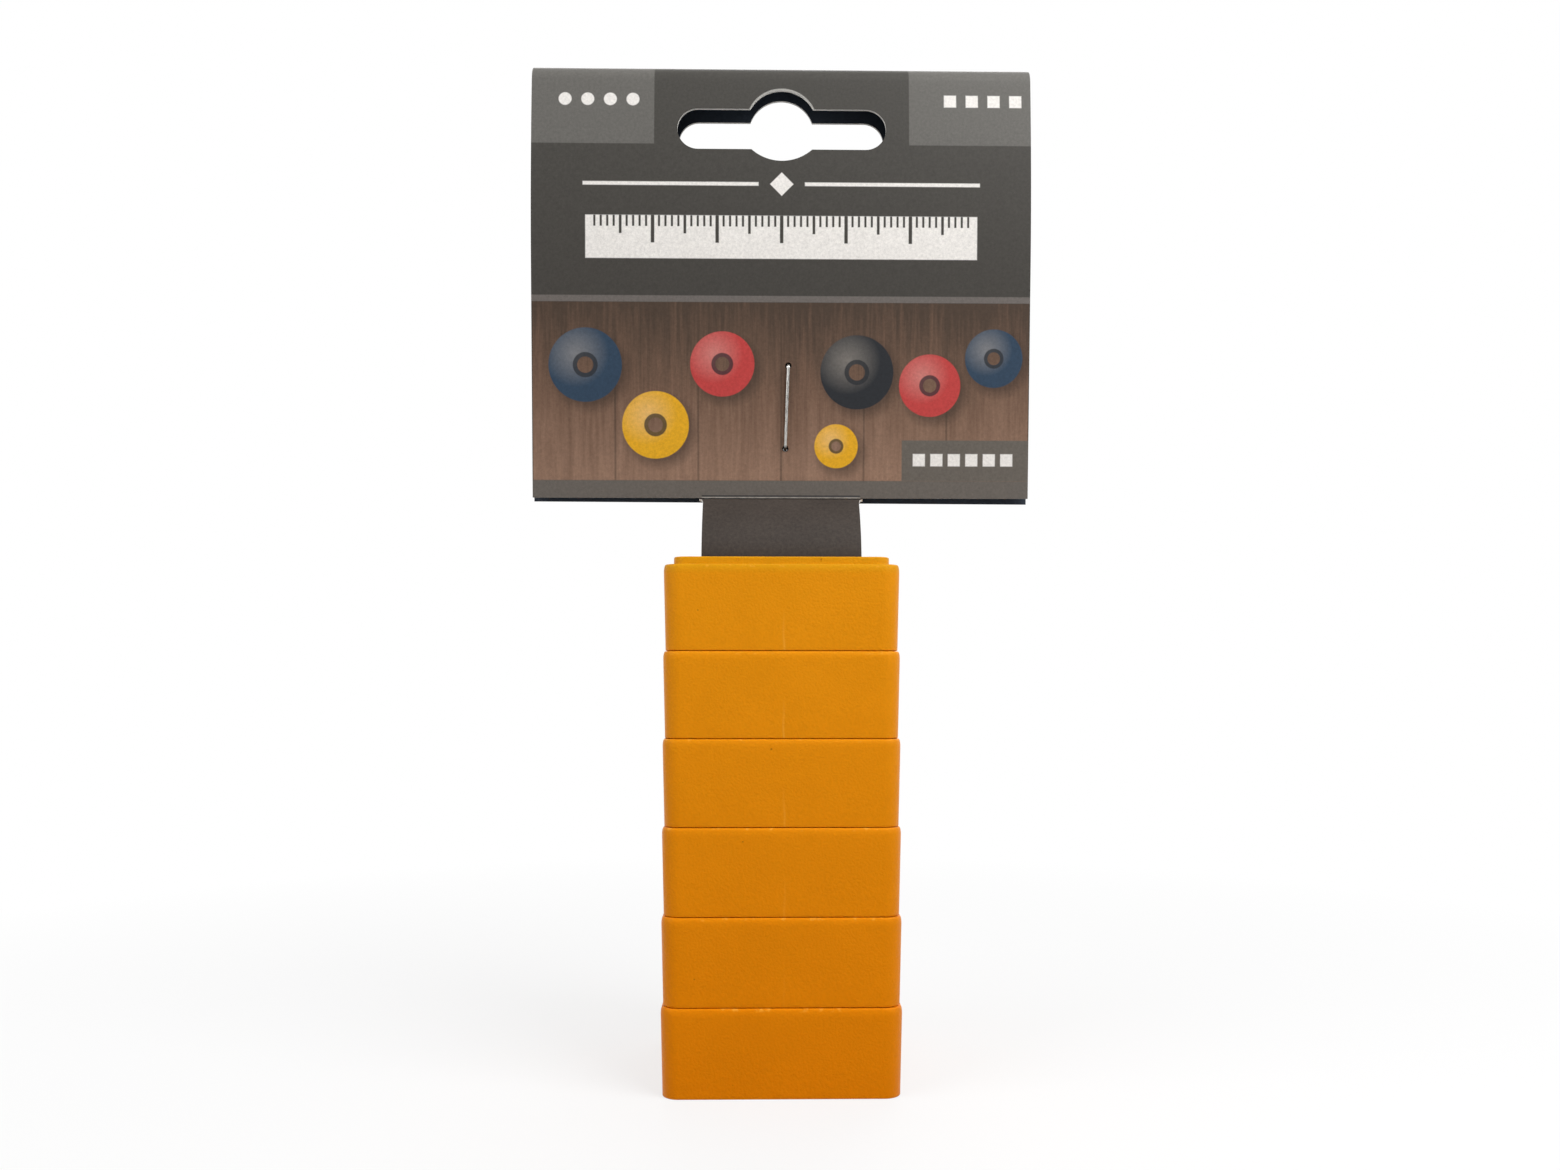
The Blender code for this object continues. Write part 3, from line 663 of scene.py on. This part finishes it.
def printDiscs(kit, planks):
    # turned discs with a hole, each with a gleam and a soft shadow on the boards
    c, inks = cardHanger, cardHanger["inks"]
    (shadowU, shadowV), (gleamU, gleamV) = c["shadowShift"], c["gleamShift"]
    panel = planks
    for (u, v), radius, ink in c["discs"]:
        shadow = kit.mask({"at": (u + shadowU, v + shadowV), "radius": radius + c["shadowGrow"],
                           "soft": c["shadowSoft"]})
        panel = kit.lay(panel, linear(inks["shadow"]), shadow, c["shadowStrength"])
        face = kit.mask({"at": (u, v), "radius": radius})
        panel = kit.lay(panel, linear(inks[ink]), face)
        spot = radius * c["gleamSize"]
        gleam = kit.mask({"at": (u + radius * gleamU, v + radius * gleamV), "radius": spot, "soft": spot})
        panel = kit.lay(panel, linear(inks["gleam"]), gleam, face, c["gleamStrength"])
        rim = kit.mask({"at": (u, v), "radius": radius * c["discRim"]})
        panel = kit.lay(panel, linear(inks["black"]), rim, c["rimStrength"])
        panel = kit.lay(panel, planks, kit.mask({"at": (u, v), "radius": radius * c["discBore"]}))
    return panel


def printWearAndShade(tree, kit, colour):
    # board showing through where the punch bruised the crown of the hang slot
    c = cardHanger
    crownV = c["roundZ"] - c["creaseZ"] + c["bruiseRise"]
    colour = kit.inkShapes(colour, [{"at": (0.0, crownV), "radius": c["roundRadius"], "ink": "bruise"}])
    # score line where the strap folds: painted shade, a dark line for the shadow in the groove, and below it
    # a pale line that is partly ink worn at the fold and partly a painted highlight on the fold's edge
    wearAndHighlight = put(tree, "TexNoise", {"Vector": kit.flat, "Scale": 0.8, "Detail": 2.0})
    pale = put(tree, "MapRange", {"Value": wearAndHighlight.outputs["Fac"], 1: 0.35, 2: 0.65, 3: 0.3, 4: 0.75})
    for height, half, ink, amount in ((0.46, 0.1, "black", 0.85), (0.2, 0.08, "wearAndHighlight", pale.outputs[0])):
        line = kit.mask({"at": (0.0, height), "half": (c["scoreHalf"], half), "soft": c["scoreSoft"]})
        colour = kit.lay(colour, linear(c["inks"][ink]), line, amount)
    return colour


def printFinish(tree, shader, kit, colour):
    # paper grain under the ink, drawn at 0.45 mm where the fibres are nearer 0.03 mm, so that it shows
    c = cardHanger
    grain = put(tree, "TexNoise", {"Vector": kit.scaled, "Scale": 1 / c["paperMm"], "Detail": 4.0,
                                   "Roughness": 0.8}).outputs["Fac"]
    tint = put(tree, "MapRange", {"Value": grain, 1: 0.25, 2: 0.75, 3: 0.8, 4: 1.2})
    inked = put(tree, "VectorMath", {0: colour, 3: tint.outputs[0]}, operation="SCALE")
    rough = put(tree, "MapRange", {"Value": grain, 1: 0.3, 2: 0.7, 3: 0.46, 4: 0.58})
    bump = put(tree, "Bump", {"Strength": 0.1, "Distance": c["bumpMm"] * mm, "Height": grain})
    feed(tree, shader, {"Base Color": inked.outputs[0], "Roughness": rough.outputs[0],
                        "Normal": bump.outputs[0], "IOR": 1.45, "Specular IOR Level": 0.25})


def printedFront():
    # offset-printed coated board: matt ink with a fine paper grain, and a slight gloss
    c = cardHanger
    material, tree, shader = startMaterial("printedCoatedBoard")
    kit = printKit(tree)
    colour = printGround(tree, kit)
    colour = kit.inkShapes(colour, c["dots"] + c["squares"])
    colour = printStrip(tree, kit, colour)
    colour = kit.lay(colour, printDiscs(kit, printBoards(tree, kit)), kit.mask(c["boards"]))
    colour = kit.inkShapes(colour, [c["label"]] + c["tally"])
    colour = printWearAndShade(tree, kit, colour)
    printFinish(tree, shader, kit, colour)
    return material


def printedBack():
    # same press sheet on the rear panel: flood ink, a framed empty field and the bands
    material, tree, shader = startMaterial("printedBoardRear")
    kit = printKit(tree)
    colour = kit.inkShapes(printGround(tree, kit), cardHanger["rearField"])
    printFinish(tree, shader, kit, colour)
    return material


def plainCard(name, dark, pale, roughness):
    # flood-printed or bare side of the board: matt, with paper fibre drawn coarse enough to show
    c = cardHanger
    material, tree, shader = startMaterial(name)
    place = put(tree, "TexCoord").outputs["Object"]
    grain = put(tree, "TexNoise", {"Vector": place, "Scale": 1 / (c["fibreMm"] * mm), "Detail": 4.0,
                                   "Roughness": 0.8}).outputs["Fac"]
    cloud = put(tree, "TexNoise", {"Vector": place, "Scale": 1 / (c["blotchMm"] * mm), "Detail": 2.0})
    both = put(tree, "Math", {0: grain, 1: 1.5, 2: cloud.outputs["Fac"]}, operation="MULTIPLY_ADD")
    amount = put(tree, "MapRange", {"Value": both.outputs[0], 1: 0.85, 2: 1.65})
    tone = put(tree, "Mix", {0: amount.outputs[0], 6: linear(dark), 7: linear(pale)}, data_type="RGBA")
    bump = put(tree, "Bump", {"Strength": 0.12, "Distance": c["bumpMm"] * mm, "Height": grain})
    feed(tree, shader, {"Base Color": tone.outputs[2], "Normal": bump.outputs[0], "Roughness": roughness,
                        "Specular IOR Level": 0.25})
    return material


def strapPath():
    # down the front through the slots, under the stack and up behind it, as y and z
    c = cardHanger
    line, bend = c["strapLine"], c["footBend"]
    rise = c["creaseZ"] - c["gap"] - c["strapBendZ"]
    reach = c["creaseY"] + line
    path = []
    for t in (spread(0, 0.92, 14) + spread(0.93, 1, 7))[::-1]:
        path.append((-line + reach * t ** c["strapCurl"], c["strapBendZ"] + rise * t))
    path += [(-line, z) for z in spread(c["strapFoot"], c["strapBendZ"] - c["strapEase"], 12)[::-1]]
    path += arc(-line + bend, c["underZ"] + bend, bend, 180, 270, 8)
    path += arc(line - bend, c["underZ"] + bend, bend, 270, 360, 8)
    path += [(line, z) for z in spread(c["strapFoot"], c["rearTop"], 12)]
    path += arc(line - c["rearBend"], c["rearBendZ"], c["rearBend"], 0, c["rearTurn"], 12)
    path.append((c["creaseY"] + c["rearEnd"][0], c["rearBendZ"] + c["rearBend"] + c["rearEnd"][1]))
    return path


def buildCard():
    c = cardHanger
    looks = [printedFront(), printedBack(), plainCard("darkBoardInside", *c["inside"]),
             plainCard("cutBoardEdge", *c["cutEdge"]), plainCard("floodPrintedBoard", *c["flood"])]
    front, rear, inside, cut, flood = range(len(looks))
    bendZ = c["top"] - c["thick"] / 2 - c["bend"]
    rising = [(frontY(z), z) for z in spread(c["creaseZ"] + c["gap"], bendZ, 48)]
    over = arc(frontY(c["top"]) + c["bend"], bendZ, c["bend"], 180, 0, 20)[1:-1]
    falling = [(backY(z), z) for z in spread(c["creaseZ"] - c["overhang"], bendZ, 40)][::-1]
    line = rising + over + falling
    share = (len(rising) + len(over) * 0.45) / len(line)
    header = cardSheet("headerCard", line, [c["width"] / 2] * len(line), 36, looks,
                       lambda t: front if t < share else rear, inside, cut)
    # the fold is a little out of square, so the lower edge of the rear panel climbs to the left
    for point in header.data.vertices:
        if point.co.z < c["creaseZ"] * mm:
            point.co.z += c["skew"] * (0.5 * mm - point.co.x / c["width"])
    # the round of the hang slot stands a little higher in the rear panel
    before, behind = c["punchY"]
    between = frontY(c["slotZ"]) + c["bend"]
    frontSlot = alongY(hangSlotOutline(c["roundRadius"], c["roundZ"]), before, between)
    rearSlot = alongY(hangSlotOutline(c["rearRoundRadius"], c["rearRoundZ"]), between, behind)
    frontPunch = meshPiece("frontPunch", *frontSlot, [looks[cut]])
    rearPunch = meshPiece("rearPunch", *rearSlot, [looks[cut]])
    header = cutAway(header, [frontPunch, rearPunch, staplePunch(c["stapleHole"])])
    smoothShade(header.data, c["sharpAngle"])
    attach(header, "header")
    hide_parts("header_card")

    tabLine = [(frontY(z) + c["layer"], z) for z in spread(c["creaseZ"] + c["tabFoot"], c["tabTop"], 16)]
    tab = cardSheet("tuckedTab", tabLine, [c["strap"] / 2 - c["tabMargin"]] * len(tabLine), 12, looks,
                    lambda t: flood, inside, cut)
    tab = cutAway(tab, [staplePunch(c["tabHole"])])
    smoothShade(tab.data, c["sharpAngle"])
    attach(tab, "header")
    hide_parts("strap_end_tab")

    # the strap widens into the header panel in two small fillets at the crease
    path = strapPath()
    crease, fillet = path[0][1], c["fillet"]
    widths = []
    for y, z in path:
        near = max(0.0, 1 - (crease - z) / fillet) if y < 0 else 0.0
        widths.append(c["strap"] / 2 + fillet * (1 - math.sqrt(1 - near ** 2)))
    band = cardSheet("cardStrap", path, widths, 16, looks, lambda t: flood, flood, cut)
    smoothShade(band.data, c["sharpAngle"])
    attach(band, "base")
    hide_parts("strap_front", "strap_bottom", "strap_rear")
    print("card hanger made")


# staple

wireStaple = {
    "wire": 0.5, "proud": 0.1, "behind": 0.15, "crownBend": 0.42, "clinch": 4.5, "clinchBend": 1.2,
    "clinchOut": 0.1, "legEnd": -0.05, "sharpAngle": 50,
    # the third colour on the next line and the two heights after it paint shade on the staple's lower bend
    "dark": "#9c9a95", "bright": "#e0dfdb", "bendShade": "#3b3936", "scratchMm": 0.09, "bumpMm": 0.02,
    "bendShadeFrom": 0.5, "bendShadeFull": 0.1,
}


def brightWire():
    # galvanised steel wire: drawn, so it has fine scratches along its length
    s, foot = wireStaple, cardHanger["stapleLow"][1]
    material, tree, shader = startMaterial("galvanisedWire")
    place = put(tree, "TexCoord").outputs["Object"]
    drawn = put(tree, "VectorMath", {0: place, 1: (1.0, 1.0, 0.06)}, operation="MULTIPLY")
    lines = put(tree, "TexNoise", {"Vector": drawn.outputs[0], "Scale": 1 / (s["scratchMm"] * mm),
                                   "Detail": 3.0}).outputs["Fac"]
    tone = put(tree, "Mix", {0: lines, 6: linear(s["dark"]), 7: linear(s["bright"])}, data_type="RGBA")
    # painted shade: the lower bend is coloured dark, for the dark surroundings it reflects
    height = put(tree, "SeparateXYZ", {"Vector": place}).outputs["Z"]
    bendShade = put(tree, "MapRange", {"Value": height, 1: (foot + s["bendShadeFrom"]) * mm,
                                    2: (foot + s["bendShadeFull"]) * mm, 3: 0.0, 4: 0.85})
    metal = put(tree, "Mix", {0: bendShade.outputs[0], 6: tone.outputs[2], 7: linear(s["bendShade"])},
                data_type="RGBA")
    rough = put(tree, "MapRange", {"Value": lines, 1: 0.3, 2: 0.7, 3: 0.22, 4: 0.42})
    bump = put(tree, "Bump", {"Strength": 0.15, "Distance": s["bumpMm"] * mm, "Height": lines})
    feed(tree, shader, {"Base Color": metal.outputs[2], "Roughness": rough.outputs[0],
                        "Normal": bump.outputs[0], "Metallic": 1.0})
    return material


def wireTree(material):
    # round wire along a path whose corners are bent to a radius
    tree = bpy.data.node_groups.new("wireAlongPath", "GeometryNodeTree")
    face = tree.interface
    face.new_socket("Path", in_out="INPUT", socket_type="NodeSocketGeometry")
    for name in ("Wire Radius", "Bend Radius"):
        face.new_socket(name, in_out="INPUT", socket_type="NodeSocketFloat")
    face.new_socket("Wire", in_out="OUTPUT", socket_type="NodeSocketGeometry")
    given = put(tree, "NodeGroupInput").outputs
    bent = put(tree, "GeometryNodeFilletCurve", {"Curve": given["Path"], "Count": 8, "Limit Radius": True,
                                                "Radius": given["Bend Radius"]}, mode="POLY")
    ring = put(tree, "GeometryNodeCurvePrimitiveCircle", {"Resolution": 20, "Radius": given["Wire Radius"]})
    tube = put(tree, "GeometryNodeCurveToMesh", {"Curve": bent.outputs[0], "Profile Curve": ring.outputs[0],
                                                "Fill Caps": True})
    real = put(tree, "GeometryNodeRealizeInstances", {"Geometry": tube.outputs[0]})
    painted = put(tree, "GeometryNodeSetMaterial", {"Geometry": real.outputs[0], "Material": material})
    put(tree, "NodeGroupOutput", {"Wire": painted.outputs[0]})
    return tree


def buildStaple():
    c, s = cardHanger, wireStaple
    wire = s["wire"] / 2
    proud = -(c["thick"] / 2 + s["proud"] + wire)
    behind = 2 * c["layer"] + c["thick"] / 2 + s["behind"] + wire
    legEnd, clinched = behind + s["legEnd"], behind + s["clinchOut"]
    (lowX, low), (highX, high) = c["stapleLow"], c["stapleHigh"]
    slope = (highX - lowX) / (high - low)
    stops = [(low + s["clinch"], clinched), (low + s["clinchBend"], clinched), (low, legEnd), (low, proud),
             (high, proud), (high, legEnd), (high - s["clinchBend"], clinched),
             (high - s["clinch"], clinched)]
    curve = bpy.data.curves.new("wireStaple", "CURVE")
    curve.dimensions = "3D"
    spline = curve.splines.new("POLY")
    spline.points.add(len(stops) - 1)
    for point, (z, out) in zip(spline.points, stops):
        point.co = ((lowX + slope * (z - low)) * mm, (frontY(z) + out) * mm, z * mm, 1)
    piece = newObject("wireStaple", curve)
    modifier = piece.modifiers.new("wire", "NODES")
    modifier.node_group = wireTree(brightWire())
    setInputs(modifier, {"Wire Radius": wire * mm, "Bend Radius": s["crownBend"] * mm})
    piece = bake(piece)
    smoothShade(piece.data, s["sharpAngle"])
    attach(piece, "header")
    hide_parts("staple")
    print("staple made")


# floor, light and camera

studio = {
    # metres for the floor and the lamps: name, place, width, watts
    "floorHalf": 1.5, "floorZ": -0.00002, "floorGrey": "#a0a0a0", "floorPale": "#dadada",
    "floorRoughness": 0.9, "keep": 0.28, "shadeNear": 0.03, "shadeFar": 0.24,
    "sky": 0.43, "room": 0.3, "aim": (0, 0, 0.075),
    "lamps": [("keyLamp", (0.23, -0.21, 0.335), 0.28, 1.85), ("leftLamp", (-0.42, -0.26, 0.36), 0.4, 1.8),
              ("backLamp", (0.1, 0.6, 0.6), 0.6, 2.4)],
}


def buildFloor():
    s = studio
    half, z = s["floorHalf"] / mm, s["floorZ"] / mm
    floor = meshPiece("floor", [(-half, -half, z), (half, -half, z), (half, half, z), (-half, half, z)],
                      [[0, 1, 2, 3]], turnOut=False)
    material, tree, shader = startMaterial("whiteSweep")
    path = put(tree, "LightPath").outputs
    # a mid grey for the light it throws back, and for the eye a pale one that the lamps bring to white
    paint = put(tree, "Mix", {0: path["Is Camera Ray"], 6: linear(s["floorGrey"]), 7: linear(s["floorPale"])},
                data_type="RGBA")
    feed(tree, shader, {"Base Color": paint.outputs[2], "Roughness": s["floorRoughness"]})
    # lit and shadowed near the object, plain white further off, for the eye and in reflections
    first = put(tree, "Math", {0: path["Is Camera Ray"], 1: path["Is Glossy Ray"]}, operation="MAXIMUM")
    seen = put(tree, "Math", {0: first.outputs[0], 1: path["Is Transmission Ray"]}, operation="MAXIMUM")
    place = put(tree, "TexCoord").outputs["Object"]
    off = put(tree, "VectorMath", {0: place}, operation="LENGTH").outputs["Value"]
    white = put(tree, "MapRange", {"Value": off, 1: s["shadeNear"], 2: s["shadeFar"], 3: 1 - s["keep"],
                                   4: 1.0})
    part = put(tree, "Math", {0: seen.outputs[0], 1: white.outputs[0]}, operation="MULTIPLY")
    glow = put(tree, "Emission", {"Color": (1, 1, 1, 1), "Strength": 1.0})
    mix = put(tree, "MixShader", {0: part.outputs[0], 1: shader.outputs[0], 2: glow.outputs[0]})
    tree.links.new(mix.outputs[0], tree.nodes["Material Output"].inputs["Surface"])
    floor.data.materials.append(material)


def buildLight():
    s = studio
    world = bpy.data.worlds.new("studio")
    bpy.context.scene.world = world
    world.use_nodes = True
    tree = world.node_tree
    # white sweep behind the object, a dimmer room in front of it; only the camera sees white all round
    toward = put(tree, "SeparateXYZ", {"Vector": put(tree, "TexCoord").outputs["Generated"]})
    path = put(tree, "LightPath").outputs
    shade = put(tree, "MapRange", {"Value": toward.outputs["Y"], 1: -0.35, 2: 0.35, 3: s["room"], 4: 1.0})
    bright = put(tree, "Math", {0: path["Is Glossy Ray"], 1: path["Is Transmission Ray"]},
                 operation="MAXIMUM")
    level = put(tree, "MapRange", {"Value": bright.outputs[0], 3: s["sky"], 4: 1.0})
    lit = put(tree, "Math", {0: shade.outputs[0], 1: level.outputs[0]}, operation="MULTIPLY")
    both = put(tree, "Math", {0: lit.outputs[0], 1: path["Is Camera Ray"]}, operation="MAXIMUM")
    feed(tree, tree.nodes["Background"], {"Color": (1, 1, 1, 1), "Strength": both.outputs[0]})
    for name, at, width, power in s["lamps"]:
        lamp = bpy.data.lights.new(name, "AREA")
        lamp.size = width
        lamp.energy = power
        holder = newObject(name, lamp)
        holder.location = at
        holder.rotation_euler = (Vector(s["aim"]) - Vector(at)).to_track_quat("-Z", "Y").to_euler()
    print("floor and light made")


cameraView = {"lens": 29.438, "sensor": 36.0, "near": 0.005, "far": 20.0, "at": (-3.53, -207.17, 60.99),
              "pitch": 4.149, "yaw": 0.977, "roll": -0.028}


def buildCamera():
    view = cameraView
    pitch, yaw, roll = (math.radians(view[k]) for k in ("pitch", "yaw", "roll"))
    right = Vector((math.cos(yaw), -math.sin(yaw), 0))
    ahead = Vector((math.sin(yaw) * math.cos(pitch), math.cos(yaw) * math.cos(pitch), math.sin(pitch)))
    above = right.cross(ahead)
    turnedRight = right * math.cos(roll) - above * math.sin(roll)
    turnedAbove = right * math.sin(roll) + above * math.cos(roll)
    lens = bpy.data.cameras.new("camera")
    lens.lens = view["lens"]
    lens.sensor_width = view["sensor"]
    lens.sensor_fit = "HORIZONTAL"
    lens.clip_start = view["near"]
    lens.clip_end = view["far"]
    camera = newObject("camera", lens)
    axes = Matrix((turnedRight, turnedAbove, -ahead)).transposed()
    camera.matrix_world = Matrix.Translation(Vector(view["at"]) * mm) @ axes.to_4x4()
    bpy.context.scene.camera = camera


buildBlocks()
buildCard()
buildStaple()
buildFloor()
buildLight()
buildCamera()
bpy.context.scene.view_settings.view_transform = "Standard"
print("scene ready")
